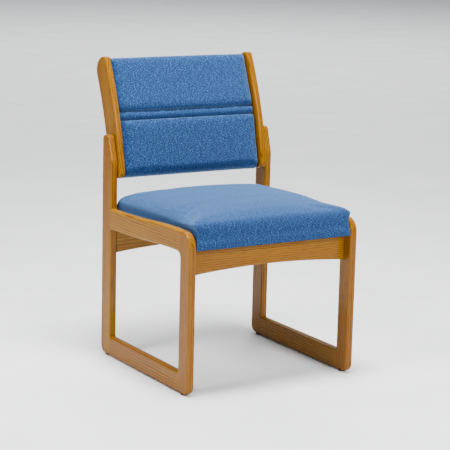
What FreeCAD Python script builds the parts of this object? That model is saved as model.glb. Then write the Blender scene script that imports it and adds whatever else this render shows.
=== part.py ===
import FreeCAD, Part
import math
import os
import types
import Sketcher

# Sled base visitor chair with solid wood side frames and an upholstered seat and back.
# Millimetres. +Z is up, -Y is the front, +X is to the right as seen from the front.
# Every piece is drawn with the front of the legs at Y = 0. Each finished piece is then
# moved forward by half of the chair's depth, so the origin lies under its middle, on the floor.

SIZES = {
    # Side frames
    "overall_width": 533,
    "side_thickness": 22,
    "frame_depth": 501,
    "leg_width": 51,
    "post_width": 54,
    "runner_height": 54,
    "foot_radius": 22,
    "edge_radius": 5,
    # Seat rails, which swell upwards towards the front
    "rail_rear_height": 428,
    "rail_height": 57,
    "rail_turn_distance": 236,
    "rail_turn_angle": 4.35,
    "rail_crest_radius": 1600,
    "knee_radius": 40,
    "knee_inner_radius": 18,
    "cutter_radius": 3,
    # Tops of the rear posts
    "post_top_rise": 118,
    "post_top_width": 31,
    "post_shoulder_drop": 75,
    "post_shoulder_radius": 60,
    "post_tip_radius": 12,
    # Dowels in the side frames
    "dowel_diameter": 10,
    "dowel_length": 50,
    "dowel_spacing": 22,
    "dowel_relief": 1,
    # Aprons across the front and the rear
    "apron_thickness": 20,
    "apron_height": 71,
    "apron_arch": 12.5,
    "apron_edge_radius": 4,
    "front_apron_setback": 30,
    "rear_apron_setback": 1.5,
    "apron_dowel_diameter": 8,
    "apron_dowel_length": 40,
    "apron_dowel_seat": 14,
    "apron_dowel_spacing": 36,
    # Seat, whose front lower edge is a drop below the rails' rear height
    "seat_base_drop": 33.5,
    "seat_pitch": 2.5,
    "seat_depth": 472,
    "seat_side_gap": 1.5,
    "seat_board_thickness": 15,
    "seat_crown_height": 106,
    "seat_side_drop": 12,
    "seat_side_radius": 30,
    "seat_side_draw": 2,
    "fabric_thickness": 1.5,
    "seat_hem_width": 55,
    "dust_cover_thickness": 0.6,
    "dust_cover_inset": 6,
    # Screws up through the aprons into the seat board
    "seat_screw_spread": 300,
    "seat_screw_diameter": 4.5,
    "seat_screw_land": 25,
    "seat_screw_grip": 11,
    "seat_screw_head_diameter": 9,
    "seat_screw_head_height": 3,
    "screw_well_diameter": 11,
    # Back stiles, curved about one axis behind the chair
    "overall_height": 848,
    "stile_thickness": 19,
    "stile_depth": 68,
    "stile_low_height": 517,
    "stile_low_lean": 8,
    "stile_lead": 13,
    "back_radius": 1084,
    "stile_crown_radius": 40,
    "stile_toe_radius": 16,
    "stile_heel_radius": 10,
    "stile_nose_radius": 6,
    # Upholstered back: heights run up the curve, depths are behind the stiles' front
    "back_side_gap": 1,
    "lower_pad_height": 166,
    "roll_height": 22,
    "upper_pad_height": 165,
    "crease_gap": 0.4,
    "pad_front_depth": 6,
    "pad_side_radius": 4,
    "pad_side_draw": 1.5,
    "pad_crown": 2,
    "lower_pad_roll": 20,
    "upper_pad_roll": 14,
    "crease_roll": 8,
    "roll_front_depth": 9,
    "board_front_depth": 37,
    "back_board_thickness": 9,
    "back_rail_thickness": 17,
    "back_rail_height": 45,
    "lower_back_rail_start": 16,
    "upper_back_rail_start": 291,
    "outside_panel_thickness": 3,
    "outside_panel_bottom": 5,
    "outside_panel_top": 337,
    "outside_fabric_thickness": 1.2,
    "back_dowel_diameter": 8,
    "back_dowel_length": 36,
    "back_dowel_seat": 12,
    "back_dowel_spacing": 24,
    # Screws through the back rails into the back board
    "back_screw_spread": 150,
    "back_screw_diameter": 4,
    "back_screw_grip": 6,
    "back_screw_head_diameter": 8,
    "back_screw_head_height": 3,
    # Bolts through the stiles into threaded inserts in the posts
    "bolt_diameter": 6,
    "bolt_head_diameter": 12,
    "bolt_head_height": 3.5,
    "bolt_well_diameter": 14,
    "bolt_well_depth": 5,
    "bolt_reach": 13,
    "bolt_setback": 24,
    "bolt_low_rise": 31,
    "bolt_spacing": 57,
    "insert_diameter": 10,
    "insert_length": 14,
    # Nail-on glides
    "glide_diameter": 20,
    "glide_height": 4,
    "glide_edge_radius": 1,
    "glide_inset": 32,
    "nail_diameter": 2.5,
    "nail_head_diameter": 8,
    "nail_head_height": 1.2,
    "nail_recess_depth": 2,
    "nail_reach": 9,
}

# Reach of cutting tools past the piece they cut
TOOL_REACH = 40
PAD_TOOL_REACH = 4
PAD_ROUND_STEPS = 4
# The seat along its depth, front to rear: share of the depth, share of the crown's height, and
# how soft its side edges are, from 0 for square to 1 for the full radius and drop.
SEAT_PROFILE = (
    (0.0, 0.64, 0.25),
    (0.006, 0.69, 0.25),
    (0.02, 0.73, 0.3),
    (0.05, 0.78, 0.5),
    (0.1, 0.83, 0.75),
    (0.2, 0.9, 1.0),
    (0.38, 0.97, 1.0),
    (0.6, 1.0, 1.0),
    (0.82, 0.985, 0.9),
    (0.92, 0.95, 0.8),
    (0.97, 0.89, 0.7),
    (0.992, 0.8, 0.6),
    (1.0, 0.7, 0.6),
)

# How near an edge has to be to the place where it is looked for
TOLERANCE = 0.01

X_AXIS = FreeCAD.Vector(1, 0, 0)
Y_AXIS = FreeCAD.Vector(0, 1, 0)
Z_AXIS = FreeCAD.Vector(0, 0, 1)
SIDES = (("left", -1), ("right", 1))


class Size:
    """A formula over the sheet's aliases, with its present value."""

    def __init__(self, formula, value):
        self.formula = formula
        self.value = value

    def __add__(self, other):
        return join_sizes(self, "+", other)

    def __radd__(self, other):
        return join_sizes(other, "+", self)

    def __sub__(self, other):
        return join_sizes(self, "-", other)

    def __rsub__(self, other):
        return join_sizes(other, "-", self)

    def __mul__(self, other):
        return join_sizes(self, "*", other)

    def __rmul__(self, other):
        return join_sizes(other, "*", self)

    def __truediv__(self, other):
        return join_sizes(self, "/", other)


def as_size(item):
    if isinstance(item, Size):
        return item
    return Size(str(item), float(item))


def join_sizes(first, sign, second):
    first = as_size(first)
    second = as_size(second)
    values = {
        "+": first.value + second.value,
        "-": first.value - second.value,
        "*": first.value * second.value,
        "/": first.value / second.value if second.value else math.inf,
    }
    return Size(f"({first.formula} {sign} {second.formula})", values[sign])


def sine(angle):
    return Size(f"sin({angle.formula})", math.sin(math.radians(angle.value)))


def cosine(angle):
    return Size(f"cos({angle.formula})", math.cos(math.radians(angle.value)))


def tangent(angle):
    return Size(f"tan({angle.formula})", math.tan(math.radians(angle.value)))


def root(area):
    return Size(f"sqrt({area.formula})", math.sqrt(area.value))


doc = FreeCAD.newDocument("visitor_chair")

# Sheet of driving dimensions
sheet = doc.addObject("Spreadsheet::Sheet", "Sizes")
for row, (alias, number) in enumerate(SIZES.items(), 1):
    sheet.set(f"A{row}", alias)
    sheet.set(f"B{row}", str(number))
    sheet.setAlias(f"B{row}", alias)
doc.recompute()
dim = types.SimpleNamespace(**{name: Size(f"Sizes.{name}", float(sheet.get(name))) for name in SIZES})

# Places worked out from the driving dimensions
inner_face = dim.overall_width / 2 - dim.side_thickness
side_centre = dim.overall_width / 2 - dim.side_thickness / 2
post_front = dim.frame_depth - dim.post_width
runner_top = dim.glide_height + dim.runner_height
post_top = dim.stile_low_height + dim.post_top_rise
post_shoulder = post_top - dim.post_shoulder_drop
seat_base = dim.rail_rear_height - dim.seat_base_drop

# The rail's top leaves the post level, turns upwards, and passes into the crest's arc
turn_y = post_front - dim.rail_turn_distance
turn_z = dim.rail_rear_height + dim.rail_turn_distance * tangent(dim.rail_turn_angle / 2)
sway_radius = dim.rail_turn_distance / sine(dim.rail_turn_angle)
crest_y = turn_y - dim.rail_crest_radius * sine(dim.rail_turn_angle)
crest_z = turn_z - dim.rail_crest_radius * cosine(dim.rail_turn_angle)


def rail_top(y):
    """Height of the rail's crest arc at a distance y behind the front of the legs."""
    return crest_z + root(dim.rail_crest_radius * dim.rail_crest_radius - (y - crest_y) * (y - crest_y))


# The back's pieces are concentric about one level axis behind the chair
axis_y = post_front - dim.stile_lead + dim.back_radius * cosine(dim.stile_low_lean)
axis_z = dim.stile_low_height - dim.back_radius * sine(dim.stile_low_lean)


def back_turn(rise):
    """Lean in degrees at a rise up the curve from the stiles' foot."""
    return dim.stile_low_lean + rise / dim.back_radius * (180 / math.pi)


def back_point(depth, rise):
    """Point behind the stiles' front by depth, and up the curve from their foot by rise."""
    turn = back_turn(rise)
    radius = dim.back_radius - depth
    return axis_y - radius * cosine(turn), axis_z + radius * sine(turn)


def back_point_at_height(depth, height):
    radius = dim.back_radius - depth
    drop = height - axis_z
    return axis_y - root(radius * radius - drop * drop), height


# The rearmost point lies on the round of the stiles' top
crown_centre_radius = dim.back_radius - dim.stile_depth + dim.stile_crown_radius
crown_rise = dim.overall_height - dim.stile_crown_radius - axis_z
crown_centre_reach = root(crown_centre_radius * crown_centre_radius - crown_rise * crown_rise)
rearmost = axis_y + dim.stile_crown_radius - crown_centre_reach
forward_shift = 0 - rearmost / 2


def place(item, x=0, y=0, z=0):
    """Bind an object's place to formulas."""
    for axis_name, distance in zip("xyz", (x, y, z)):
        item.setExpression(f"Placement.Base.{axis_name}", as_size(distance).formula)


NODES = []


def node(item, label, x=0, y=0, z=0):
    """Name a finished piece and move it to the chair's origin."""
    item.Label = label
    place(item, x, y + forward_shift, z)
    NODES.append(item)
    return item


def arc_between(start, end, radius, side):
    """Arc of under half a circle. Side 1 bulges to the left of the way from start to end."""
    chord = end - start
    middle = (start + end) * 0.5
    left = FreeCAD.Vector(-chord.y, chord.x, 0).normalize()
    offset = math.sqrt(radius * radius - chord.Length * chord.Length / 4)
    centre = middle - left * (side * offset)
    circle = Part.Circle(centre, Z_AXIS, radius)
    first = math.atan2(start.y - centre.y, start.x - centre.x)
    last = math.atan2(end.y - centre.y, end.x - centre.x)
    if side > 0:
        return Part.ArcOfCircle(circle, last, first)
    return Part.ArcOfCircle(circle, first, last)


def add_outline(sketch, corners):
    """Closed outline. A corner is (across, up) or (across, up, radius, side of the arc that leaves it)."""
    points = [FreeCAD.Vector(corner[0].value, corner[1].value, 0) for corner in corners]
    ends = []
    for place_in_list, corner in enumerate(corners):
        start = points[place_in_list]
        end = points[(place_in_list + 1) % len(corners)]
        if len(corner) == 2:
            index = sketch.addGeometry(Part.LineSegment(start, end))
            ends.append((index, 1, 2))
            continue
        radius, side = corner[2], corner[3]
        index = sketch.addGeometry(arc_between(start, end, radius.value, side))
        ends.append((index, 2, 1) if side > 0 else (index, 1, 2))
        bound = sketch.addConstraint(Sketcher.Constraint("Radius", index, radius.value))
        sketch.setExpression(f"Constraints[{bound}]", radius.formula)
    for place_in_list, corner in enumerate(corners):
        index, first, last = ends[place_in_list]
        after, after_first, after_last = ends[(place_in_list + 1) % len(corners)]
        sketch.addConstraint(Sketcher.Constraint("Coincident", index, last, after, after_first))
        for kind, size in (("DistanceX", corner[0]), ("DistanceY", corner[1])):
            bound = sketch.addConstraint(Sketcher.Constraint(kind, -1, 1, index, first, size.value))
            sketch.setExpression(f"Constraints[{bound}]", size.formula)


def new_sketch(body, role, name):
    sketch = body.newObject("Sketcher::SketchObject", name)
    plane = [item for item in body.Origin.OriginFeatures if item.Role == role][0]
    sketch.AttachmentSupport = [(plane, "")]
    sketch.MapMode = "FlatFace"
    return sketch


def padded_body(name, role, outlines, length, reverse=False, symmetric=False):
    """Body with one pad of closed outlines drawn on one of its origin planes."""
    body = doc.addObject("PartDesign::Body", name)
    sketch = new_sketch(body, role, name + "_outline")
    for corners in outlines:
        add_outline(sketch, [tuple(map(as_size, corner[:3])) + tuple(corner[3:]) for corner in corners])
    pad = body.newObject("PartDesign::Pad", name + "_pad")
    pad.Profile = sketch
    pad.Reversed = reverse
    if symmetric:
        pad.SideType = "Symmetric"
    pad.setExpression("Length", as_size(length).formula)
    doc.recompute()
    return body


def fillet(body, name, radius, chosen):
    """Round the edges of the body's tip for which chosen(edge) is true."""
    tip = body.Tip
    names = [f"Edge{count}" for count, edge in enumerate(tip.Shape.Edges, 1) if chosen(edge)]
    if not names:
        raise ValueError(f"{body.Name}: no edge found for {name}")
    feature = body.newObject("PartDesign::Fillet", name)
    feature.Base = (tip, names)
    feature.setExpression("Radius", radius.formula)
    doc.recompute()


def corner_edge(across, up):
    """Test for an edge along X through the point (Y, Z) = (across, up)."""
    def chosen(edge):
        box = edge.BoundBox
        along_x = box.XLength > TOLERANCE and box.YLength < TOLERANCE and box.ZLength < TOLERANCE
        level = abs(box.Center.y - across.value) < TOLERANCE and abs(box.Center.z - up.value) < TOLERANCE
        return along_x and level
    return chosen


def face_edge(half_thickness):
    """Test for an edge that lies in one of the two side faces X = +-half_thickness."""
    def chosen(edge):
        box = edge.BoundBox
        return box.XLength < TOLERANCE and abs(abs(box.Center.x) - half_thickness.value) < TOLERANCE
    return chosen


def arched_edge(high):
    """Test for an edge across the chair that lies below a height."""
    def chosen(edge):
        box = edge.BoundBox
        return box.XLength > TOLERANCE and box.YLength < TOLERANCE and box.ZMax < high.value - TOLERANCE
    return chosen


def rod(name, diameter, length, x, y, z, axis):
    """Cylinder from (x, y, z) along an axis."""
    item = doc.addObject("Part::Cylinder", name)
    item.setExpression("Radius", (as_size(diameter) / 2).formula)
    item.setExpression("Height", as_size(length).formula)
    item.Placement = FreeCAD.Placement(FreeCAD.Vector(), FreeCAD.Rotation(Z_AXIS, axis))
    place(item, x, y, z)
    return item


def block(name, length, width, height, x, y, z):
    item = doc.addObject("Part::Box", name)
    item.setExpression("Length", as_size(length).formula)
    item.setExpression("Width", as_size(width).formula)
    item.setExpression("Height", as_size(height).formula)
    place(item, x, y, z)
    return item


def group(name, items):
    item = doc.addObject("Part::Compound", name)
    item.Links = items
    return item


def boolean(kind, name, base, tool):
    item = doc.addObject(kind, name)
    item.Base = base
    item.Tool = tool
    return item


def cut(name, base, tools):
    joined = doc.addObject("Part::MultiFuse", name + "_tools")
    joined.Shapes = tools
    return boolean("Part::Cut", name, base, joined)


# Seat plane, shared by the aprons, the seat's pieces and their screws
dust_face_drop = dim.fabric_thickness + dim.dust_cover_thickness


def seat_underside(y):
    """Height of the dust cover's lower face at a distance y behind the front of the legs."""
    return seat_base - y * tangent(dim.seat_pitch) - dust_face_drop / cosine(dim.seat_pitch)


def seat_block(name, height, drop):
    """Block over or under the seat's footprint, laid in the seat's plane."""
    item = block(name, dim.overall_width, dim.seat_depth + 2 * TOOL_REACH, height,
                 0 - dim.overall_width / 2, 0 - TOOL_REACH * cosine(dim.seat_pitch),
                 seat_base + TOOL_REACH * sine(dim.seat_pitch) - drop / cosine(dim.seat_pitch))
    item.Placement.Rotation = FreeCAD.Rotation(FreeCAD.Vector(-1, 0, 0), dim.seat_pitch.value)
    item.setExpression("Placement.Rotation.Angle", dim.seat_pitch.formula)
    return item


# Aprons and the screws that hold the seat
front_apron_y = dim.front_apron_setback
rear_apron_y = post_front + dim.rear_apron_setback
APRONS = (("front_apron", front_apron_y), ("rear_apron", rear_apron_y))
arch_radius = (inner_face * inner_face + dim.apron_arch * dim.apron_arch) / (2 * dim.apron_arch)


def apron_middle(y):
    return y + dim.apron_thickness / 2


def apron_screws(name, y):
    """Screws, wells and clearance holes at both screw places of one apron."""
    middle = apron_middle(y)
    top = seat_underside(middle)
    seat_face = top - dim.seat_screw_land
    screws = []
    holes = []
    for side, sign in SIDES:
        x = sign * dim.seat_screw_spread / 2
        head_z = seat_face - dim.seat_screw_head_height
        length = dim.seat_screw_land + dust_face_drop + dim.seat_screw_grip
        tag = f"{name}_{side}"
        head = rod(tag + "_screw_head", dim.seat_screw_head_diameter, dim.seat_screw_head_height,
                   x, middle, head_z, Z_AXIS)
        shank = rod(tag + "_screw_shank", dim.seat_screw_diameter, length, x, middle, seat_face, Z_AXIS)
        screws.append(boolean("Part::Fuse", tag + "_screw", head, shank))
        holes.append(rod(tag + "_screw_hole", dim.seat_screw_diameter, length, x, middle, seat_face, Z_AXIS))
        holes.append(rod(tag + "_screw_well", dim.screw_well_diameter, dim.apron_height,
                         x, middle, seat_face - dim.apron_height, Z_AXIS))
    return screws, holes


def apron_dowel_places(y):
    middle_z = seat_underside(apron_middle(y)) - dim.apron_height / 2
    for side, sign in SIDES:
        for step in (-1, 1):
            yield side, sign, middle_z + step * dim.apron_dowel_spacing / 2


apron_dowels = []
apron_sockets = {"left": [], "right": []}
seat_screws = []
for apron_name, apron_y in APRONS:
    bottom = seat_underside(apron_y) - dim.apron_height
    high = seat_underside(apron_y) + TOOL_REACH
    blank = padded_body(apron_name + "_blank", "XZ_Plane", [[
        (0 - inner_face, bottom, arch_radius, 1),
        (inner_face, bottom),
        (inner_face, high),
        (0 - inner_face, high),
    ]], dim.apron_thickness, reverse=True)
    fillet(blank, apron_name + "_lower_edges", dim.apron_edge_radius, arched_edge(high))
    place(blank, 0, apron_y, 0)
    screws, holes = apron_screws(apron_name, apron_y)
    seat_screws += screws
    for side, sign, z in apron_dowel_places(apron_y):
        middle = sign * (inner_face + dim.apron_dowel_seat - dim.apron_dowel_length / 2)
        start = middle - dim.apron_dowel_length / 2
        relief = dim.dowel_relief
        tag = f"{apron_name}_{side}_dowel_{len(apron_dowels) + 1}"
        apron_dowels.append(rod(tag, dim.apron_dowel_diameter, dim.apron_dowel_length,
                                start, apron_middle(apron_y), z, X_AXIS))
        hole = rod(tag + "_hole", dim.apron_dowel_diameter, dim.apron_dowel_length + 2 * relief,
                   start - relief, apron_middle(apron_y), z, X_AXIS)
        holes.append(hole)
        apron_sockets[side].append(hole)
    seat_room = seat_block(apron_name + "_seat_room", dim.apron_height, dust_face_drop)
    node(cut(apron_name, blank, [seat_room] + holes), apron_name)
node(group("apron_dowels", apron_dowels), "apron_dowels")
node(group("seat_screws", seat_screws), "seat_screws")

# Bolts that hold the stiles to the posts, with their inserts
bolts = []
inserts = []
bolt_sockets = {"left": [], "right": []}
stile_wells = {"left": [], "right": []}
bolt_y = dim.frame_depth - dim.bolt_setback
stile_inner = inner_face - dim.stile_thickness
bolt_seat = stile_inner + dim.bolt_well_depth
bolt_length = dim.stile_thickness - dim.bolt_well_depth + dim.bolt_reach


def bolt_rod(name, sign, diameter, near_end, length, z):
    """Cylinder at a bolt's place, on one side, with its near end at a distance from the chair's middle."""
    start = near_end if sign > 0 else 0 - near_end - length
    return rod(name, diameter, length, start, bolt_y, z, X_AXIS)


for side, sign in SIDES:
    for count in range(2):
        z = dim.stile_low_height + dim.bolt_low_rise + count * dim.bolt_spacing
        tag = f"{side}_stile_bolt_{count + 1}"
        head = bolt_rod(tag + "_head", sign, dim.bolt_head_diameter,
                        bolt_seat - dim.bolt_head_height, dim.bolt_head_height, z)
        shank = bolt_rod(tag + "_shank", sign, dim.bolt_diameter, bolt_seat, bolt_length, z)
        bolts.append(boolean("Part::Fuse", tag, head, shank))
        insert_blank = bolt_rod(tag + "_insert_blank", sign, dim.insert_diameter,
                                inner_face, dim.insert_length, z)
        insert_bore = bolt_rod(tag + "_insert_bore", sign, dim.bolt_diameter, inner_face, dim.insert_length, z)
        inserts.append(boolean("Part::Cut", tag + "_insert", insert_blank, insert_bore))
        bolt_sockets[side].append(bolt_rod(tag + "_socket", sign, dim.insert_diameter,
                                           inner_face, dim.insert_length, z))
        stile_wells[side].append(bolt_rod(tag + "_well", sign, dim.bolt_well_diameter,
                                          stile_inner, dim.bolt_well_depth, z))
        stile_wells[side].append(bolt_rod(tag + "_hole", sign, dim.bolt_diameter,
                                          stile_inner, dim.stile_thickness, z))
node(group("stile_bolts", bolts), "stile_bolts")
node(group("bolt_inserts", inserts), "bolt_inserts")

# Glides, each a pad with a nail up into the frame
glide_places = (("front", dim.glide_inset), ("rear", dim.frame_depth - dim.glide_inset))
nails = []
nail_holes = {"left": [], "right": []}
nail_seat = dim.nail_recess_depth
nail_length = dim.glide_height - nail_seat + dim.nail_reach


def rim_edge(rim):
    """Test for the glide's widest edge on the floor."""
    def chosen(edge):
        return edge.BoundBox.ZMax < TOLERANCE and edge.BoundBox.XLength > rim.value
    return chosen


for side, sign in SIDES:
    for end, glide_y in glide_places:
        label = f"{end}_{side}_glide"
        body = doc.addObject("PartDesign::Body", label)
        sketch = new_sketch(body, "XZ_Plane", label + "_section")
        bore = dim.nail_diameter / 2
        recess = dim.nail_head_diameter / 2
        rim = dim.glide_diameter / 2
        add_outline(sketch, [
            (recess, as_size(0)), (rim, as_size(0)), (rim, dim.glide_height),
            (bore, dim.glide_height), (bore, nail_seat), (recess, nail_seat),
        ])
        turned = body.newObject("PartDesign::Revolution", label + "_turned")
        turned.Profile = sketch
        turned.ReferenceAxis = (sketch, ["V_Axis"])
        turned.Angle = 360
        doc.recompute()
        fillet(body, label + "_lower_edge", dim.glide_edge_radius, rim_edge(rim))
        x = sign * side_centre
        node(body, label, x, glide_y, 0)
        head = rod(label + "_nail_head", dim.nail_head_diameter, dim.nail_head_height,
                   x, glide_y, nail_seat - dim.nail_head_height, Z_AXIS)
        shank = rod(label + "_nail_shank", dim.nail_diameter, nail_length, x, glide_y, nail_seat, Z_AXIS)
        nails.append(boolean("Part::Fuse", label + "_nail", head, shank))
        nail_holes[side].append(rod(label + "_nail_hole", dim.nail_diameter, nail_length,
                                    x, glide_y, nail_seat, Z_AXIS))
node(group("glide_nails", nails), "glide_nails")

# Side frames: one routed outline with its opening, divided at the joints into four members
rail_bottom_front = rail_top(dim.leg_width) - dim.rail_height
rail_bottom_rear = dim.rail_rear_height - dim.rail_height
post_tip_y = dim.frame_depth - dim.post_top_width
opening_middle = (runner_top + rail_bottom_rear) / 2
joint_depth = post_front - dim.leg_width


def side_frame_blank(side, sign):
    outer = [
        (0, dim.glide_height),
        (dim.frame_depth, dim.glide_height),
        (dim.frame_depth, post_top),
        (post_tip_y, post_top),
        (post_front, post_shoulder),
        (post_front, dim.rail_rear_height, sway_radius, 1),
        (turn_y, turn_z, dim.rail_crest_radius, -1),
        (0, rail_top(as_size(0))),
    ]
    opening = [
        (dim.leg_width, runner_top),
        (post_front, runner_top),
        (post_front, rail_bottom_rear, sway_radius, 1),
        (turn_y, turn_z - dim.rail_height, dim.rail_crest_radius, -1),
        (dim.leg_width, rail_bottom_front),
    ]
    name = side + "_frame_blank"
    body = padded_body(name, "YZ_Plane", [outer, opening], dim.side_thickness, symmetric=True)
    rounds = (
        ("knee", dim.knee_radius, as_size(0), rail_top(as_size(0))),
        ("front_foot", dim.foot_radius, as_size(0), dim.glide_height),
        ("rear_foot", dim.foot_radius, dim.frame_depth, dim.glide_height),
        ("post_heel", dim.post_tip_radius, dim.frame_depth, post_top),
        ("post_tip", dim.post_tip_radius, post_tip_y, post_top),
        ("post_shoulder", dim.post_shoulder_radius, post_front, post_shoulder),
        ("knee_inside", dim.knee_inner_radius, dim.leg_width, rail_bottom_front),
        ("rail_step", dim.cutter_radius, post_front, dim.rail_rear_height),
        ("opening_top", dim.cutter_radius, post_front, rail_bottom_rear),
        ("opening_rear", dim.cutter_radius, post_front, runner_top),
        ("opening_front", dim.cutter_radius, dim.leg_width, runner_top),
    )
    for round_name, radius, across, up in rounds:
        fillet(body, f"{side}_{round_name}", radius, corner_edge(across, up))
    fillet(body, side + "_routed_edges", dim.edge_radius, face_edge(dim.side_thickness / 2))
    place(body, sign * side_centre, 0, 0)
    return body


def frame_dowels(side, sign):
    """Dowels along Y at the four joints, and their holes."""
    joints = (
        ("rail_front", dim.leg_width, rail_top(dim.leg_width) - dim.rail_height / 2),
        ("rail_rear", post_front, dim.rail_rear_height - dim.rail_height / 2),
        ("runner_front", dim.leg_width, dim.glide_height + dim.runner_height / 2),
        ("runner_rear", post_front, dim.glide_height + dim.runner_height / 2),
    )
    dowels = []
    holes = []
    for joint, y, middle in joints:
        for step, word in ((-1, "low"), (1, "high")):
            z = middle + step * dim.dowel_spacing / 2
            start = y - dim.dowel_length / 2
            tag = f"{side}_{joint}_{word}_dowel"
            dowels.append(rod(tag, dim.dowel_diameter, dim.dowel_length, sign * side_centre, start, z, Y_AXIS))
            holes.append(rod(tag + "_hole", dim.dowel_diameter, dim.dowel_length + 2 * dim.dowel_relief,
                             sign * side_centre, start - dim.dowel_relief, z, Y_AXIS))
    return dowels, holes


for side, sign in SIDES:
    blank = side_frame_blank(side, sign)
    dowels, dowel_holes = frame_dowels(side, sign)
    left_x = sign * side_centre - dim.side_thickness
    width = 2 * dim.side_thickness
    members = (
        ("front_leg", 0, dim.leg_width, as_size(0), dim.overall_height),
        ("rear_post", post_front, dim.post_width, as_size(0), dim.overall_height),
        ("runner", dim.leg_width, joint_depth, as_size(0), opening_middle),
        ("seat_rail", dim.leg_width, joint_depth, opening_middle, dim.overall_height),
    )
    for member, y, depth, low, height in members:
        zone = block(f"{side}_{member}_zone", width, depth, height, left_x, y, low)
        label = f"{side}_{member}"
        piece = boolean("Part::Common", label + "_piece", blank, zone)
        holes = dowel_holes + nail_holes[side]
        if member in ("front_leg", "rear_post"):
            holes = holes + apron_sockets[side]
        if member == "rear_post":
            holes = holes + bolt_sockets[side]
        node(cut(label, piece, holes), label)
    node(group(side + "_frame_dowels", dowels), side + "_frame_dowels")

# Back stiles
back_rails = (("lower_back_rail", dim.lower_back_rail_start), ("upper_back_rail", dim.upper_back_rail_start))
board_rear_depth = dim.board_front_depth + dim.back_board_thickness
rail_rear_depth = board_rear_depth + dim.back_rail_thickness
rail_middle_depth = board_rear_depth + dim.back_rail_thickness / 2

back_dowels = []
back_sockets = {"left": [], "right": []}
for rail_name, rail_start in back_rails:
    for side, sign in SIDES:
        for step in (-1, 1):
            rise = rail_start + dim.back_rail_height / 2 + step * dim.back_dowel_spacing / 2
            y, z = back_point(rail_middle_depth, rise)
            middle = sign * (stile_inner + dim.back_dowel_seat - dim.back_dowel_length / 2)
            start = middle - dim.back_dowel_length / 2
            tag = f"{rail_name}_{side}_dowel_{len(back_dowels) + 1}"
            back_dowels.append(rod(tag, dim.back_dowel_diameter, dim.back_dowel_length, start, y, z, X_AXIS))
            back_sockets[side].append(rod(tag + "_hole", dim.back_dowel_diameter,
                                          dim.back_dowel_length + 2 * dim.dowel_relief,
                                          start - dim.dowel_relief, y, z, X_AXIS))
node(group("back_rail_dowels", back_dowels), "back_rail_dowels")

stile_front_radius = dim.back_radius
stile_rear_radius = dim.back_radius - dim.stile_depth
for side, sign in SIDES:
    toe = back_point(as_size(0), as_size(0))
    nose = back_point_at_height(as_size(0), dim.overall_height)
    crown = back_point_at_height(dim.stile_depth, dim.overall_height)
    heel = back_point(dim.stile_depth, as_size(0))
    blank = padded_body(side + "_stile_blank", "YZ_Plane", [[
        toe,
        heel + (stile_rear_radius, 1),
        crown,
        nose + (stile_front_radius, -1),
    ]], dim.stile_thickness, symmetric=True)
    rounds = (
        ("toe", dim.stile_toe_radius, toe),
        ("heel", dim.stile_heel_radius, heel),
        ("crown", dim.stile_crown_radius, crown),
        ("nose", dim.stile_nose_radius, nose),
    )
    for round_name, radius, corner in rounds:
        fillet(blank, f"{side}_stile_{round_name}", radius, corner_edge(*corner))
    fillet(blank, side + "_stile_edges", dim.edge_radius, face_edge(dim.stile_thickness / 2))
    place(blank, sign * (stile_inner + dim.stile_thickness / 2), 0, 0)
    label = side + "_back_stile"
    node(cut(label, blank, stile_wells[side] + back_sockets[side]), label)


def curved_panel(name, front_depth, thickness, low, high, half_width):
    """Body between two arcs of the back, over a stretch of its curve."""
    front_radius = dim.back_radius - front_depth
    rear_depth = front_depth + thickness
    return padded_body(name, "YZ_Plane", [[
        back_point(front_depth, low),
        back_point(rear_depth, low) + (dim.back_radius - rear_depth, 1),
        back_point(rear_depth, high),
        back_point(front_depth, high) + (front_radius, -1),
    ]], 2 * half_width, symmetric=True)


# Back board, rails and outside panel
pad_half = stile_inner - dim.back_side_gap
board_half = pad_half - dim.fabric_thickness
back_height = dim.lower_pad_height + dim.roll_height + dim.upper_pad_height + 2 * dim.crease_gap
back_screws = []
back_screw_length = dim.back_rail_thickness + dim.back_screw_grip
for rail_name, rail_start in back_rails:
    rise = rail_start + dim.back_rail_height / 2
    turn = math.radians(back_turn(rise).value)
    rearward = FreeCAD.Vector(0, math.cos(turn), -math.sin(turn))
    tip_y, tip_z = back_point(board_rear_depth - dim.back_screw_grip, rise)
    sink_y, sink_z = back_point(rail_rear_depth - dim.back_screw_head_height, rise)
    for count, step in enumerate((-1, 0, 1), 1):
        x = step * dim.back_screw_spread
        tag = f"{rail_name}_screw_{count}"
        shank = rod(tag + "_shank", dim.back_screw_diameter, back_screw_length, x, tip_y, tip_z, rearward)
        head = rod(tag + "_head", dim.back_screw_head_diameter, dim.back_screw_head_height,
                   x, sink_y, sink_z, rearward)
        back_screws.append(boolean("Part::Fuse", tag, head, shank))
node(group("back_screws", back_screws), "back_screws")

board_blank = curved_panel("back_board_blank", dim.board_front_depth, dim.back_board_thickness,
                           dim.fabric_thickness, back_height - dim.fabric_thickness, board_half)
node(cut("back_board", board_blank, back_screws), "back_board")
all_sockets = back_sockets["left"] + back_sockets["right"]
for rail_name, rail_start in back_rails:
    rail_blank = curved_panel(rail_name + "_blank", board_rear_depth, dim.back_rail_thickness,
                              rail_start, rail_start + dim.back_rail_height, stile_inner)
    node(cut(rail_name, rail_blank, all_sockets + back_screws), rail_name)
outside_panel = curved_panel("outside_back_panel", rail_rear_depth, dim.outside_panel_thickness,
                             dim.outside_panel_bottom, dim.outside_panel_top, pad_half)
node(outside_panel, "outside_back_panel")
outside_fabric = curved_panel("outside_back_cover", rail_rear_depth + dim.outside_panel_thickness,
                              dim.outside_fabric_thickness,
                              dim.outside_panel_bottom, dim.outside_panel_top, pad_half)
node(outside_fabric, "outside_back_cover")


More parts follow.
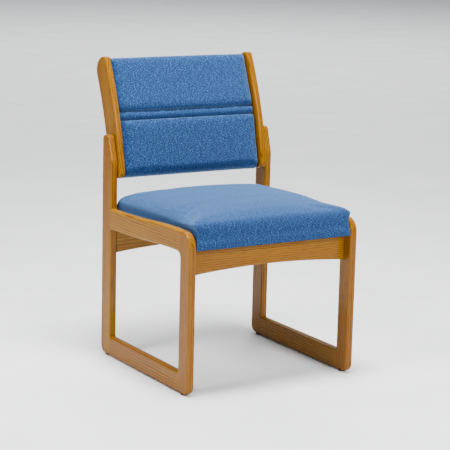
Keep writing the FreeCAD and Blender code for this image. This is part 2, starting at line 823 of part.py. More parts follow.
# Upholstery: sections across the chair, lofted up the back's curve or along the seat
def section_wire(half, low, base, crown, radius, drop, draw, to_point):
    """Closed section: sides straight up to the board's face at base and drawn in above it,
    round shoulders, and a top that falls by drop from its crown to its shoulders."""
    top_half = half - draw
    shoulder_half = top_half - radius
    knuckle = radius * (1 - math.sqrt(0.5))
    top_side = crown - drop
    outline = [
        (-half, low),
        (-half, base),
        (-top_half, top_side - radius),
        (-top_half + knuckle, top_side - knuckle),
        (-shoulder_half, top_side),
        (0, crown),
        (shoulder_half, top_side),
        (top_half - knuckle, top_side - knuckle),
        (top_half, top_side - radius),
        (half, base),
        (half, low),
    ]
    points = [to_point(across, up) for across, up in outline]
    edges = [
        Part.LineSegment(points[0], points[1]),
        Part.LineSegment(points[1], points[2]),
        Part.Arc(points[2], points[3], points[4]),
        Part.Arc(points[4], points[5], points[6]),
        Part.Arc(points[6], points[7], points[8]),
        Part.LineSegment(points[8], points[9]),
        Part.LineSegment(points[9], points[10]),
        Part.LineSegment(points[10], points[0]),
    ]
    return Part.Wire([edge.toShape() for edge in edges])


def pad_stations(low, high, low_roll, high_roll):
    """Rise and extra depth of each section, rounded over at both ends."""
    stations = []
    for step in range(PAD_ROUND_STEPS + 1):
        angle = math.pi / 2 * step / PAD_ROUND_STEPS
        stations.append((low + low_roll * (1 - math.cos(angle)), low_roll * (1 - math.sin(angle))))
    for step in range(PAD_ROUND_STEPS, -1, -1):
        angle = math.pi / 2 * step / PAD_ROUND_STEPS
        stations.append((high - high_roll * (1 - math.cos(angle)), high_roll * (1 - math.sin(angle))))
    return stations


def pad_solid(low, high, low_roll, high_roll, front_depth, rear_depth, half):
    """Pad between two rises of the back, from front_depth to rear_depth behind the stiles' front."""
    wires = []
    for rise, extra in pad_stations(low, high, low_roll, high_roll):
        turn = math.radians(back_turn(as_size(rise)).value)
        outward = FreeCAD.Vector(0, -math.cos(turn), math.sin(turn))
        centre = FreeCAD.Vector(0, axis_y.value, axis_z.value)

        def to_point(across, up):
            return centre + outward * up + X_AXIS * across

        low_radius = dim.back_radius.value - rear_depth
        base_radius = dim.back_radius.value - dim.board_front_depth.value
        crown_radius = dim.back_radius.value - front_depth - extra
        padding = crown_radius - base_radius
        radius = min(dim.pad_side_radius.value, padding / 2)
        drop = min(dim.pad_crown.value, padding / 4)
        wires.append(section_wire(half, low_radius, base_radius, crown_radius, radius, drop,
                                  dim.pad_side_draw.value, to_point))
    return Part.makeLoft(wires, True, True)


def back_cylinder(depth):
    """Everything behind one of the back's concentric depths."""
    radius = dim.back_radius.value - depth
    start = FreeCAD.Vector(-dim.overall_width.value, axis_y.value, axis_z.value)
    return Part.makeCylinder(radius, 2 * dim.overall_width.value, start, X_AXIS)


def feature(label, shape, placement=FreeCAD.Placement()):
    """Finished piece with a shape of its own, moved to the chair's origin."""
    item = doc.addObject("Part::Feature", label)
    item.Shape = shape
    item.Label = label
    shift = FreeCAD.Placement(FreeCAD.Vector(0, forward_shift.value, 0), FreeCAD.Rotation())
    item.Placement = shift.multiply(placement)
    NODES.append(item)
    return item


fabric = dim.fabric_thickness.value
board_front = dim.board_front_depth.value
roll_start = dim.lower_pad_height.value + dim.crease_gap.value
upper_start = roll_start + dim.roll_height.value + dim.crease_gap.value
upper_end = upper_start + dim.upper_pad_height.value
PADS = (
    ("lower_back", 0, dim.lower_pad_height.value, dim.lower_pad_roll.value, dim.crease_roll.value,
     dim.pad_front_depth.value),
    ("back_roll", roll_start, roll_start + dim.roll_height.value, dim.crease_roll.value,
     dim.crease_roll.value, dim.roll_front_depth.value),
    ("upper_back", upper_start, upper_end, dim.crease_roll.value, dim.upper_pad_roll.value,
     dim.pad_front_depth.value),
)
for pad_name, low, high, low_roll, high_roll, front_depth in PADS:
    half = pad_half.value
    skin = pad_solid(low, high, low_roll, high_roll, front_depth, board_front + PAD_TOOL_REACH, half)
    skin = skin.cut(back_cylinder(board_front))
    inside_sizes = (low + fabric, high - fabric, low_roll, high_roll, front_depth + fabric)
    filling = pad_solid(*inside_sizes, board_front + 2 * PAD_TOOL_REACH, half - fabric)
    feature(pad_name + "_foam", filling.cut(back_cylinder(board_front)))
    feature(pad_name + "_cover", skin.cut(filling))


# Seat
def seat_loft(inset, low):
    """Crowned solid in the seat's own frame, drawn in on all sides by inset, above low."""
    depth = dim.seat_depth.value - 2 * inset
    half = inner_face.value - dim.seat_side_gap.value - inset
    board_top = dim.seat_board_thickness.value
    wires = []
    for along, share, softness in SEAT_PROFILE:
        y = inset + depth * along

        def to_point(across, up):
            return FreeCAD.Vector(across, y, up)

        crown = dim.seat_crown_height.value * share - inset
        padding = crown - board_top
        radius = min(dim.seat_side_radius.value * softness, padding / 2)
        drop = min(dim.seat_side_drop.value * softness, padding / 4)
        wires.append(section_wire(half, low, board_top, crown, radius, drop,
                                  dim.seat_side_draw.value, to_point))
    return Part.makeLoft(wires, True, True)


seat_frame = FreeCAD.Placement(
    FreeCAD.Vector(0, 0, seat_base.value),
    FreeCAD.Rotation(X_AXIS, -dim.seat_pitch.value),
)
half = inner_face.value - dim.seat_side_gap.value
screw_holes = Part.makeCompound([screw.Shape for screw in seat_screws])
screw_holes.Placement = seat_frame.inverse()
board_box = Part.makeBox(
    2 * (half - fabric), dim.seat_depth.value - 2 * fabric, dim.seat_board_thickness.value,
    FreeCAD.Vector(fabric - half, fabric, 0),
)
skin = seat_loft(0, -fabric)
filling = seat_loft(fabric, 0)
hem = dim.seat_hem_width.value
window = Part.makeBox(
    2 * (half - hem), dim.seat_depth.value - 2 * hem, 2 * fabric,
    FreeCAD.Vector(hem - half, hem, -2 * fabric),
)
cover = skin.cut(filling).cut(window).cut(screw_holes)
inset = dim.dust_cover_inset.value
dust_sheet = Part.makeBox(
    2 * (half - inset), dim.seat_depth.value - 2 * inset, dim.dust_cover_thickness.value,
    FreeCAD.Vector(inset - half, inset, -dust_face_drop.value),
)
feature("seat_board", board_box.cut(screw_holes), seat_frame)
feature("seat_foam", filling.cut(board_box), seat_frame)
feature("seat_cover", cover, seat_frame)
feature("seat_dust_cover", dust_sheet.cut(screw_holes), seat_frame)

doc.recompute()

# Checks and export
for item in doc.Objects:
    faults = [state for state in item.State if state in ("Invalid", "Error")]
    if faults:
        raise RuntimeError(f"{item.Label}: {faults}")
for item in NODES:
    if item.Shape.isNull() or not item.Shape.isValid() or not item.Shape.Solids:
        raise RuntimeError(f"{item.Label}: shape is not a valid solid")

os.makedirs("parts", exist_ok=True)
for item in NODES:
    item.Shape.exportStep(f"parts/{item.Label}.step")
    box = item.Shape.BoundBox
    print(f"{item.Label}: {len(item.Shape.Solids)} solid(s), {item.Shape.Volume / 1000:.1f} cm3, "
          f"X {box.XMin:.1f} {box.XMax:.1f}, Y {box.YMin:.1f} {box.YMax:.1f}, Z {box.ZMin:.1f} {box.ZMax:.1f}")
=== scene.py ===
import bpy
import math
from mathutils import Matrix, Vector


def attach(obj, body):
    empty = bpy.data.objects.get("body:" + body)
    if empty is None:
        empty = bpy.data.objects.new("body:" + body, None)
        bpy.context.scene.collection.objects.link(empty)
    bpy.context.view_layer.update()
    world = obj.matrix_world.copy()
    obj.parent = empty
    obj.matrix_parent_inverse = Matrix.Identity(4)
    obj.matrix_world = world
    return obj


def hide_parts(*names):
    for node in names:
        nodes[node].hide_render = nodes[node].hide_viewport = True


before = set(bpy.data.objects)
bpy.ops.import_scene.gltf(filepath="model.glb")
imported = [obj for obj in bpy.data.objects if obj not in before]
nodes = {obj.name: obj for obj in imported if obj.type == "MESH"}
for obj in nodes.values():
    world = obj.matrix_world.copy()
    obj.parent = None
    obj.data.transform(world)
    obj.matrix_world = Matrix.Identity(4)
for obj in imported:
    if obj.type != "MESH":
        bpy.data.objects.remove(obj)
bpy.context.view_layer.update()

# Visitor chair with oak side frames, an upholstered seat and a curved upholstered back.
# Metres. +Z is up, -Y is the front, the origin is on the floor under the chair's middle.

# The back's pieces are curved round one level axis behind the chair. BACK_LEAN is the lean at the
# back's foot, STILE_LEAN that of the stiles' middle. Depths run back from the stiles' front, and
# heights up the curve from the foot.
BACK_RADIUS = 1.084
BACK_LEAN = math.radians(8)
STILE_LEAN = math.radians(17)
BACK_AXIS = Vector((0, 1.21329, 0.36614))
BOARD_FRONT = 0.037
PANEL_FRONT = 0.063
PAD_HALF = 0.2243
LOWER_PAD_TOP = 0.1662
ROLL_TOP = 0.1886
BACK_TOP = 0.3538

# The seat's underside slopes down towards the back from its front edge. The tops of its board and
# of the rails beside it are measured from there, and SEAT_SLACK is the leeway round the board.
SEAT_FRONT = Vector((0, -0.29416, 0.3945))
SEAT_PITCH = math.radians(2.5)
SEAT_DEPTH = 0.472
SEAT_HALF = 0.243
SEAT_BOARD = 0.0165
SEAT_SLACK = 0.001
RAIL_RISE = 0.051

# Corners of the cushions: the round that is drawn out to an edge, how near its edge the cloth
# lies tight on the board, how far the drawing goes, and between which heights it fades
CORNER_ROUND = 0.012
EDGE_NEAR = 0.0045
CORNER_SHARPNESS = 0.8
CORNER_FADE = (0.05, 0.075)

# The seat's front swells by up to FRONT_SWELL over its height. The swell fades towards the corners,
# and over FRONT_FADE behind the front edge.
FRONT_SWELL = 0.005
FRONT_HEIGHT = 0.08
FRONT_FADE = 0.05

# Its front corners are pulled out over the rails: how far, how much higher than the rails the full
# pull begins, between which distances behind the front edge it fades, and how wide a strip it takes
CORNER_PULL = 0.010
PULL_RISE = 0.012
PULL_FADE = (0.01, 0.14)
PULL_WIDTH = 0.05

# Seams up the seat's corners: their radius, how far lengthwise and sideways off the corner their
# line starts before it is drawn onto the cushion, its foot, its points, and its tops in front and
# behind
SEAM_RADIUS = 0.0011
SEAM_OFF = (0.004, 0.006)
SEAM_FOOT = 0.002
SEAM_POINTS = 8
FRONT_SEAM_TOP = 0.064
REAR_SEAM_TOP = 0.05

# Side edges of the back pads: how wide the face is drawn in, how far, and over which depths the
# drawing fades
SIDE_ROUND = 0.0065
SIDE_TUCK = 0.014
SIDE_FADE = (BOARD_FRONT / 2, BOARD_FRONT - 0.006)

# Blocks that carry the cloth over the board's lower and upper edge: how far from the back's end
# they begin and stop, their front, their width, and how deep each reaches
FILL_BEGIN, FILL_STOP = 0.0015, 0.0145
FILL_FRONT = BOARD_FRONT - 0.004
FILL_WIDTH = 2 * PAD_HALF - 0.003
LOWER_FILL_REAR = PANEL_FRONT - 0.002
UPPER_FILL_REAR = PANEL_FRONT + 0.003

# Squares of the remeshed cushions, thickness of cloth that they grow by, the most that the
# pressure may move a point, and the depth from which the back pads stay as they are
SEAT_VOXEL, SEAT_SKIN, SEAT_CAP = 0.006, 0.0004, 0.004
PAD_VOXEL, ROLL_VOXEL, PAD_SKIN, PAD_CAP = 0.0045, 0.0030, 0.0018, 0.002
PAD_HELD = BOARD_FRONT - 0.002
CLOTH_STEPS = 20
MERGE_DISTANCE = 0.00002

# A face belongs to a cushion's side or rear when its normal points that way by more than this
SIDE_FACING, REAR_FACING = 0.75, 0.25


def linear(hex_code):
    """An sRGB hex colour as linear red, green, blue and alpha."""
    parts = [int(hex_code[place:place + 2], 16) / 255 for place in (1, 3, 5)]
    return [part / 12.92 if part <= 0.04045 else ((part + 0.055) / 1.055) ** 2.4
            for part in parts] + [1]


def new_material(name):
    """A material with its node tree and its surface shader."""
    material = bpy.data.materials.new(name)
    material.use_nodes = True
    tree = material.node_tree
    return material, tree, tree.nodes["Principled BSDF"]


def feed(tree, node, values):
    """Sets a node's inputs. A value is a number, a colour or the socket that feeds it."""
    for name, value in values.items():
        if isinstance(value, bpy.types.NodeSocket):
            tree.links.new(value, node.inputs[name])
        else:
            node.inputs[name].default_value = value


def add(tree, kind, values=None, **settings):
    """Adds a node."""
    node = tree.nodes.new(kind)
    for name, setting in settings.items():
        setattr(node, name, setting)
    feed(tree, node, values or {})
    return node


def mapping(tree, vector, **values):
    """A place moved, turned or scaled."""
    return add(tree, "ShaderNodeMapping", {"Vector": vector, **values}).outputs["Vector"]


def noise(tree, vector, scale, detail, roughness=0.5):
    """Soft noise, as a node."""
    return add(tree, "ShaderNodeTexNoise", {
        "Vector": vector, "Scale": scale, "Detail": detail, "Roughness": roughness,
    })


def ramp(tree, value, colours):
    """Colour that follows a value, from (position, hex colour) pairs."""
    node = add(tree, "ShaderNodeValToRGB", {"Fac": value})
    elements = node.color_ramp.elements
    while len(elements) < len(colours):
        elements.new(0.5)
    for element, (position, colour) in zip(elements, colours):
        element.position = position
        element.color = linear(colour)
    return node.outputs["Color"]


def multiply(tree, share, colour, shade):
    """A colour darkened by a share of a shade."""
    return add(tree, "ShaderNodeMixRGB", {
        "Fac": share, "Color1": colour, "Color2": shade,
    }, blend_type="MULTIPLY").outputs["Color"]


def raised(tree, height, strength, distance):
    """Fine relief, distance metres high."""
    return add(tree, "ShaderNodeBump", {
        "Height": height, "Strength": strength, "Distance": distance,
    }).outputs["Normal"]


# Flat sawn red oak under a satin honey lacquer. The growth rings show as long dark lines,
# the open pores as short dashes along them, and the lacquer as a soft second highlight.
# heart is the middle of the log, which lies outside the piece, so the rings cross it aslant.
def lacquered_oak(name, grain, heart, lean=0.0):
    material, tree, shader = new_material(name)
    along = {"X": (0.07, 1, 1), "Y": (1, 0.07, 1), "Z": (1, 1, 0.07)}[grain]
    where = add(tree, "ShaderNodeTexCoord").outputs["Object"]
    upright = mapping(tree, where, Rotation=(lean, 0, 0))
    board = mapping(tree, upright, Scale=along, Location=[-place for place in heart])
    # Rings about 5 mm apart, wandering a few millimetres along the board
    wander = noise(tree, board, 9, 2)
    bent = add(tree, "ShaderNodeVectorMath", {0: wander.outputs["Color"], 1: (0.02, 0.02, 0.02)},
               operation="MULTIPLY")
    bowed = add(tree, "ShaderNodeVectorMath", {0: board, 1: bent.outputs["Vector"]})
    rings = add(tree, "ShaderNodeTexWave", {
        "Vector": bowed.outputs["Vector"], "Scale": 58, "Distortion": 2.4, "Detail": 2,
        "Detail Scale": 1.2,
    }, wave_type="RINGS", rings_direction=grain, wave_profile="SAW")
    ring_colour = ramp(tree, rings.outputs["Fac"], (
        (0.0, "#3C2200"), (0.12, "#5F3C00"), (0.38, "#885A00"), (0.8, "#936400"), (1.0, "#744B00"),
    ))
    # The rings stand out in some stretches and fade in others, some 10 to 20 mm wide
    patches = noise(tree, board, 60, 2)
    strength = add(tree, "ShaderNodeMapRange", {
        "Value": patches.outputs["Fac"], "From Min": 0.35, "From Max": 0.65,
        "To Min": 0.25, "To Max": 1.0,
    })
    figure = add(tree, "ShaderNodeMixRGB", {
        "Fac": strength.outputs["Result"], "Color1": linear("#855800"), "Color2": ring_colour,
    })
    # Slow change of tone from one stretch of the board to the next
    cloud = noise(tree, board, 16, 1)
    tone = ramp(tree, cloud.outputs["Fac"], ((0.3, "#DCC090"), (0.7, "#FFFFFF")))
    toned = multiply(tree, 0.8, figure.outputs["Color"], tone)
    # Pores are a quarter of a millimetre wide, drawn about four times as coarse so that they show
    pore_scale = {"X": (30, 900, 900), "Y": (900, 30, 900), "Z": (900, 900, 30)}[grain]
    pores = noise(tree, mapping(tree, upright, Scale=pore_scale), 1, 1).outputs["Fac"]
    dashes = ramp(tree, pores, ((0.30, "#8C5A22"), (0.44, "#FFFFFF")))
    feed(tree, shader, {
        "Base Color": multiply(tree, 0.55, toned, dashes),
        "Normal": raised(tree, pores, 0.12, 0.0006),
        "Roughness": 0.5, "Specular IOR Level": 0.04, "Coat Weight": 0.28, "Coat Roughness": 0.1,
    })
    return material


# Heathered wool and polyester tweed: dyed fibres of several blues spun into one yarn, so the
# cloth is flecked light and dark along its threads, with a fine plain weave that catches the light
# in its relief and has painted shade in the gaps between its threads.
def blue_tweed():
    material, tree, shader = new_material("blue_heather_tweed")
    cloth = add(tree, "ShaderNodeTexCoord").outputs["UV"]
    # Threads are about 1 mm apart, drawn 2.6 mm apart so that the weave shows
    warp, weft = (add(tree, "ShaderNodeTexWave", {
        "Vector": cloth, "Scale": 120, "Distortion": 2, "Detail Scale": 3,
    }, bands_direction=direction).outputs["Fac"] for direction in "XY")
    weave = add(tree, "ShaderNodeMath", {0: warp, 1: weft}, operation="MULTIPLY").outputs["Value"]
    # Flecks lie along the weft, about 3 mm long and 1 mm high, drawn up to twice as coarse so
    # that they show
    thread = mapping(tree, cloth, Scale=(235, 510, 1))
    flecks = noise(tree, thread, 1, 2, roughness=0.6).outputs["Fac"]
    yarn = ramp(tree, flecks, (
        (0.34, "#04122E"), (0.45, "#0D2953"), (0.56, "#194478"), (0.68, "#4577B0"),
    ))
    # Thicker and thinner yarns drift through the cloth in clouds of 10 to 16 mm
    clouds = noise(tree, mapping(tree, cloth, Scale=(100, 62, 1)), 1, 2).outputs["Fac"]
    slubs = ramp(tree, clouds, ((0.36, "#D3D9E1"), (0.60, "#FFFFFF")))
    spun = multiply(tree, 1.0, yarn, slubs)
    # Painted shade: the colour is darkened in the gaps between the threads, where the weave's
    # relief is low
    shade = ramp(tree, weave, ((0.0, "#A9B4C4"), (0.6, "#FFFFFF")))
    relief = add(tree, "ShaderNodeMath", {0: weave, 1: flecks}).outputs["Value"]
    feed(tree, shader, {
        "Base Color": multiply(tree, 0.6, spun, shade),
        "Normal": raised(tree, relief, 0.35, 0.0008),
        "Roughness": 0.95, "Specular IOR Level": 0.15, "Sheen Weight": 0.58, "Sheen Roughness": 0.5,
        "Sheen Tint": linear("#8FBCEB"),
    })
    return material


# Birch plywood, sanded but not finished: pale, with a fine figure along the chair's width.
def birch_plywood():
    material, tree, shader = new_material("birch_plywood")
    where = add(tree, "ShaderNodeTexCoord").outputs["Object"]
    figure = noise(tree, mapping(tree, where, Scale=(0.08, 1, 1)), 70, 4).outputs["Fac"]
    feed(tree, shader, {
        "Base Color": ramp(tree, figure, ((0.3, "#C9A87A"), (0.7, "#E3C99E"))),
        "Normal": raised(tree, figure, 0.1, 0.0005), "Roughness": 0.7,
    })
    return material


# Turned beech dowel, dry and matt, with fine flecks.
def beech_dowel():
    material, tree, shader = new_material("beech_dowel")
    where = add(tree, "ShaderNodeTexCoord").outputs["Object"]
    flecks = noise(tree, where, 600, 2).outputs["Fac"]
    feed(tree, shader, {
        "Base Color": ramp(tree, flecks, ((0.35, "#B98C62"), (0.65, "#D9B48C"))),
        "Roughness": 0.75,
    })
    return material


# Open cell seat foam: pale cream, with pits of about a millimetre, painted darker inside as painted
# shade.
def seat_foam():
    material, tree, shader = new_material("polyurethane_foam")
    where = add(tree, "ShaderNodeTexCoord").outputs["Object"]
    cells = add(tree, "ShaderNodeTexVoronoi", {"Vector": where, "Scale": 700}).outputs["Distance"]
    # Painted shade: the colour darkens towards each pit's middle, where the relief is lowest
    feed(tree, shader, {
        "Base Color": ramp(tree, cells, ((0.0, "#CDBF94"), (0.6, "#EFE6C6"))),
        "Normal": raised(tree, cells, 0.4, 0.001), "Roughness": 1.0,
    })
    return material


# Spun-bonded black cloth under the seat: thin, matt, with a fine embossed grid.
def spunbond_cloth():
    material, tree, shader = new_material("black_spunbond_cloth")
    where = add(tree, "ShaderNodeTexCoord").outputs["Object"]
    dots = add(tree, "ShaderNodeTexVoronoi", {"Vector": where, "Scale": 450, "Randomness": 0.2})
    fibres = noise(tree, where, 900, 3).outputs["Fac"]
    feed(tree, shader, {
        "Base Color": ramp(tree, fibres, ((0.3, "#121213"), (0.7, "#2A2A2C"))),
        "Normal": raised(tree, dots.outputs["Distance"], 0.3, 0.0005), "Roughness": 0.9,
    })
    return material


# Pressed hardboard: brown fibres, smooth face.
def hardboard():
    material, tree, shader = new_material("hardboard")
    where = add(tree, "ShaderNodeTexCoord").outputs["Object"]
    fibres = noise(tree, where, 500, 4).outputs["Fac"]
    feed(tree, shader, {
        "Base Color": ramp(tree, fibres, ((0.3, "#4A3020"), (0.7, "#6E4B33"))),
        "Roughness": 0.55,
    })
    return material


# Bright zinc plate on steel, slightly cloudy.
def zinc_plated_steel():
    material, tree, shader = new_material("zinc_plated_steel")
    where = add(tree, "ShaderNodeTexCoord").outputs["Object"]
    cloud = noise(tree, where, 250, 3).outputs["Fac"]
    rough = add(tree, "ShaderNodeMapRange", {"Value": cloud, "To Min": 0.28, "To Max": 0.45})
    feed(tree, shader, {
        "Base Color": ramp(tree, cloud, ((0.3, "#A8A79F"), (0.7, "#CFCEC6"))),
        "Roughness": rough.outputs["Result"], "Metallic": 1.0,
    })
    return material


# Moulded nylon glide: dark brown, dull, scuffed by floors.
def moulded_nylon():
    material, tree, shader = new_material("moulded_nylon")
    where = add(tree, "ShaderNodeTexCoord").outputs["Object"]
    scuffs = noise(tree, where, 380, 4).outputs["Fac"]
    feed(tree, shader, {
        "Base Color": ramp(tree, scuffs, ((0.35, "#1E1713"), (0.65, "#3A2F28"))),
        "Normal": raised(tree, scuffs, 0.2, 0.0004), "Roughness": 0.6,
    })
    return material


def only(*chosen):
    """Selects these objects and makes the first one active."""
    bpy.ops.object.select_all(action="DESELECT")
    for item in chosen:
        item.select_set(True)
    bpy.context.view_layer.objects.active = chosen[0]


def apply_modifier(item, kind, name, **settings):
    """Adds a modifier and applies it."""
    modifier = item.modifiers.new(name, kind)
    for setting, value in settings.items():
        setattr(modifier, setting, value)
    only(item)
    bpy.ops.object.modifier_apply(modifier=name)


def wear(item, material):
    """Gives a piece one material."""
    item.data.materials.clear()
    item.data.materials.append(material)


# Oak pieces, each with its grain along its length and its own place in the log
OAK = {
    "left_front_leg": ("Z", (-0.13, -0.12, -0.4)), "right_front_leg": ("Z", (0.10, -0.09, -1.3)),
    "left_rear_post": ("Z", (-0.12, 0.33, -2.1)), "right_rear_post": ("Z", (0.13, 0.36, -2.9)),
    "left_runner": ("Y", (-0.12, -3.3, 0.17)), "right_runner": ("Y", (0.13, -3.8, 0.19)),
    "left_seat_rail": ("Y", (-0.11, -4.4, 0.28)), "right_seat_rail": ("Y", (0.12, -5.0, 0.27)),
    "front_apron": ("X", (-5.5, -0.15, 0.20)), "rear_apron": ("X", (-6.1, 0.32, 0.22)),
    "left_back_stile": ("Z", (-0.10, -0.12, -6.6)), "right_back_stile": ("Z", (0.10, -0.14, -7.2)),
}
for node_name, (grain, heart) in OAK.items():
    lean = STILE_LEAN if "stile" in node_name else 0.0
    wear(nodes[node_name], lacquered_oak(node_name + "_oak", grain, heart, lean))

plywood = birch_plywood()
dowel_wood = beech_dowel()
foam = seat_foam()
steel = zinc_plated_steel()
nylon = moulded_nylon()
board_brown = hardboard()
dust_black = spunbond_cloth()
FINISHES = {
    "seat_board": plywood, "back_board": plywood,
    "lower_back_rail": plywood, "upper_back_rail": plywood,
    "apron_dowels": dowel_wood, "left_frame_dowels": dowel_wood, "right_frame_dowels": dowel_wood,
    "back_rail_dowels": dowel_wood,
    "outside_back_panel": board_brown, "seat_dust_cover": dust_black,
    "seat_foam": foam, "lower_back_foam": foam, "upper_back_foam": foam, "back_roll_foam": foam,
    "seat_screws": steel, "stile_bolts": steel, "bolt_inserts": steel, "glide_nails": steel,
    "back_screws": steel, "front_left_glide": nylon, "front_right_glide": nylon,
    "rear_left_glide": nylon, "rear_right_glide": nylon,
}
for node_name, material in FINISHES.items():
    wear(nodes[node_name], material)
tweed = blue_tweed()


def back_point(depth, rise, across=0.0):
    """Point behind the stiles' front by depth, and up the back's curve from its foot by rise."""
    turn = BACK_LEAN + rise / BACK_RADIUS
    radius = BACK_RADIUS - depth
    return BACK_AXIS + Vector((across, -radius * math.cos(turn), radius * math.sin(turn)))


def back_place(point):
    """Depth and rise of a point on the back."""
    arm = point - BACK_AXIS
    turn = math.atan2(arm.z, -arm.y)
    return BACK_RADIUS - math.hypot(arm.y, arm.z), (turn - BACK_LEAN) * BACK_RADIUS


def seat_place(point):
    """Distance behind the seat's front edge and height over the seat's underside."""
    arm = point - SEAT_FRONT
    along = arm.y * math.cos(SEAT_PITCH) - arm.z * math.sin(SEAT_PITCH)
    return along, arm.y * math.sin(SEAT_PITCH) + arm.z * math.cos(SEAT_PITCH)


def copy_of(node_name, name):
    """Free copy of a CAD node's mesh with its loose triangles merged."""
    item = bpy.data.objects.new(name, nodes[node_name].data.copy())
    bpy.context.scene.collection.objects.link(item)
    only(item)
    bpy.ops.object.mode_set(mode="EDIT")
    bpy.ops.mesh.select_all(action="SELECT")
    bpy.ops.mesh.remove_doubles(threshold=MERGE_DISTANCE)
    bpy.ops.object.mode_set(mode="OBJECT")
    return item


def trim_back(item, rise, keep_above):
    """Cuts a piece of the back square to its curve and closes the cut."""
    turn = BACK_LEAN + rise / BACK_RADIUS
    up_curve = Vector((0, math.sin(turn), math.cos(turn)))
    only(item)
    bpy.ops.object.mode_set(mode="EDIT")
    bpy.ops.mesh.select_all(action="SELECT")
    bpy.ops.mesh.bisect(plane_co=back_point(0, rise), plane_no=up_curve, use_fill=True,
                        clear_inner=keep_above, clear_outer=not keep_above)
    bpy.ops.object.mode_set(mode="OBJECT")


def back_edge_fill(low, high, front, rear):
    """Block that carries the cloth over an edge of the board. low and high run up the curve."""
    middle = back_point((front + rear) / 2, (low + high) / 2)
    turn = BACK_LEAN + (low + high) / 2 / BACK_RADIUS
    bpy.ops.object.select_all(action="DESELECT")
    bpy.ops.mesh.primitive_cube_add(size=1, location=middle, rotation=(-turn, 0, 0),
                                    scale=(FILL_WIDTH, rear - front, high - low))
    item = bpy.context.active_object
    bpy.ops.object.transform_apply(location=True, rotation=True, scale=True)
    return item


def join(name, items):
    """Makes one object of several."""
    only(*items)
    bpy.ops.object.join()
    items[0].name = name
    items[0].data.name = name
    return items[0]


def stuff(item, voxel, skin, held, cap, side):
    """Remeshes a pad in even squares, grows it by the cloth's thickness and swells it under
    pressure, as filling under tight cloth. Points for which held(point) is true stay, none moves
    past cap, and none stands out sideways past side."""
    apply_modifier(item, "REMESH", "even_squares", mode="VOXEL", voxel_size=voxel)
    apply_modifier(item, "SMOOTH", "even_out", factor=0.5, iterations=2)
    apply_modifier(item, "DISPLACE", "cloth_thickness", strength=skin, mid_level=0)
    rest = [vertex.co.copy() for vertex in item.data.vertices]
    for vertex in item.data.vertices:
        vertex.co.x = max(-side, min(side, vertex.co.x))
    group = item.vertex_groups.new(name="held")
    group.add([place for place, point in enumerate(rest) if held(point)], 1.0, "REPLACE")
    cloth = item.modifiers.new("cloth", "CLOTH")
    settings = cloth.settings
    settings.quality = 4
    settings.mass = 0.3
    settings.tension_stiffness = 12
    settings.compression_stiffness = 12
    settings.bending_stiffness = 0.8
    settings.use_pressure = True
    settings.uniform_pressure_force = 4
    settings.vertex_group_mass = "held"
    settings.effector_weights.gravity = 0
    cloth.collision_settings.use_collision = False
    cloth.point_cache.frame_start = 1
    cloth.point_cache.frame_end = CLOTH_STEPS
    scene = bpy.context.scene
    for step in range(1, CLOTH_STEPS + 1):
        scene.frame_set(step)
    only(item)
    bpy.ops.object.modifier_apply(modifier="cloth")
    scene.frame_set(1)
    for vertex, start in zip(item.data.vertices, rest):
        move = vertex.co - start
        if move.length > cap:
            move = move * (cap / move.length)
        vertex.co = start + move
        vertex.co.x = max(-side, min(side, vertex.co.x))


def ease(value, low, high):
    """0 up to low, 1 from high on, and a smooth rise between."""
    share = max(0.0, min(1.0, (value - low) / (high - low)))
    return share * share * (3 - 2 * share)


def shape_seat(item):
    """Draws the cover square round the board and up the corner seams, fills out its front,
    and pulls the front corners out over the rails."""
    backwards = Vector((0, math.cos(SEAT_PITCH), -math.sin(SEAT_PITCH)))
    upwards = Vector((0, math.sin(SEAT_PITCH), math.cos(SEAT_PITCH)))
    for vertex in item.data.vertices:
        along, height = seat_place(vertex.co)
        side, reach = math.copysign(1, vertex.co.x), abs(vertex.co.x)
        # The corner's round is drawn out to an edge
        front_half = along < SEAT_DEPTH / 2
        away = along if front_half else SEAT_DEPTH - along
        across, behind = 1 - (SEAT_HALF - reach) / CORNER_ROUND, 1 - away / CORNER_ROUND
        if across > 0 and behind > 0:
            grow = math.hypot(across, behind) / max(across, behind) - 1
            grow *= CORNER_ROUND * CORNER_SHARPNESS * (1 - ease(height, *CORNER_FADE))
            reach += across * grow
            away -= behind * grow
        # The cover lies tight round the board
        if height < SEAT_BOARD + SEAT_SLACK:
            reach = SEAT_HALF if SEAT_HALF - reach < EDGE_NEAR else reach
            away = 0 if away < EDGE_NEAR else away
            height = 0 if height < EDGE_NEAR else height
        along = away if front_half else SEAT_DEPTH - away
        # The front swells between its corners
        middle = 1 - (min(reach, SEAT_HALF) / SEAT_HALF) ** 4
        rise = max(0.0, min(1.0, height / FRONT_HEIGHT))
        along -= FRONT_SWELL * middle * math.sin(math.pi * rise) * (1 - ease(along, 0, FRONT_FADE))
        pull = ease(height, RAIL_RISE, RAIL_RISE + PULL_RISE) * (1 - ease(along, *PULL_FADE))
        reach += CORNER_PULL * pull * ease(reach, SEAT_HALF - PULL_WIDTH, SEAT_HALF)
        vertex.co = SEAT_FRONT + backwards * along + upwards * height
        vertex.co.x = side * reach


def square_ends(item, end, towards):
    """Draws the cloth square round the board's corners at one end of the back."""
    for vertex in item.data.vertices:
        depth, rise = back_place(vertex.co)
        side, reach = math.copysign(1, vertex.co.x), abs(vertex.co.x)
        across = 1 - (PAD_HALF - reach) / CORNER_ROUND
        beyond = 1 - (end - rise) * towards / CORNER_ROUND
        if across > 0 and beyond > 0 and depth > FILL_FRONT:
            grow = CORNER_ROUND * (math.hypot(across, beyond) / max(across, beyond) - 1)
            reach = min(PAD_HALF, reach + across * grow)
            vertex.co = back_point(depth, rise + beyond * grow * towards, side * reach)


